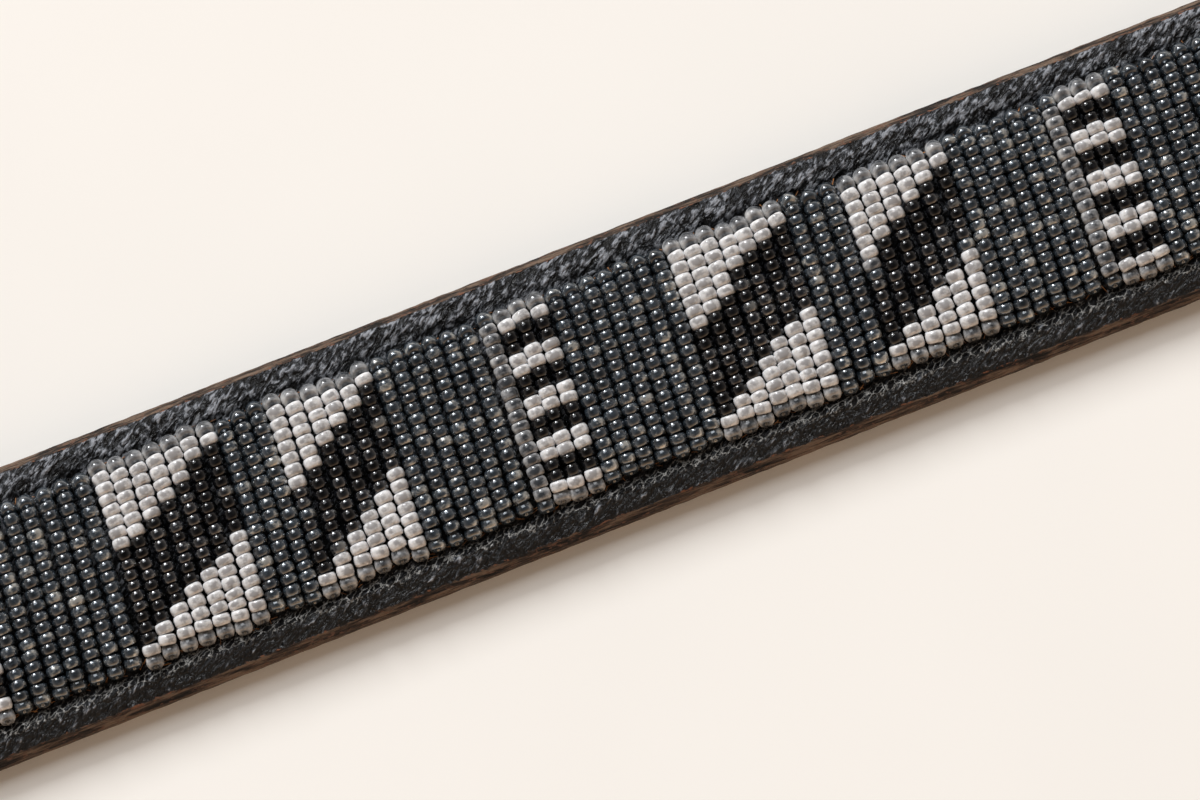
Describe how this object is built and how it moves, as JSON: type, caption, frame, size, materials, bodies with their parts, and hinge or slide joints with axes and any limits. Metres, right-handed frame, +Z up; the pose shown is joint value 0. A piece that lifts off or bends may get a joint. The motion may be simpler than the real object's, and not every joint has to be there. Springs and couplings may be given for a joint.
{
  "type": "beaded belt",
  "caption": "Leather waist belt with a raised band of seed beads sewn in cross rows, a frame buckle with a prong, a keeper loop and a pointed punched tip, laid out flat.",
  "frame": {"origin": "under the middle of the whole belt, on the plane that it lies on", "axes": "+X from the buckle to the tip, +Z up through the beads, +Y across the strap to the side with the wider leather margin"},
  "size_m": [1.0374, 0.048, 0.0125],
  "materials": {
    "strap_leather": "black, grained, with raw brown bevelled edges",
    "seed_beads": "glossy seed beads in gunmetal, black, pearl white and clear grey",
    "buckle_metal": "satin nickel plate",
    "keeper_leather": "black, grained",
    "rivet_metal": "satin nickel plate"
  },
  "bodies": {
    "root": {"strap": "strap_leather", "chape": "strap_leather", "bead_band": "seed_beads", "buckle": "buckle_metal", "keeper_loop": "keeper_leather", "rivet_1": "rivet_metal", "rivet_2": "rivet_metal"}
  },
  "joints": []
}
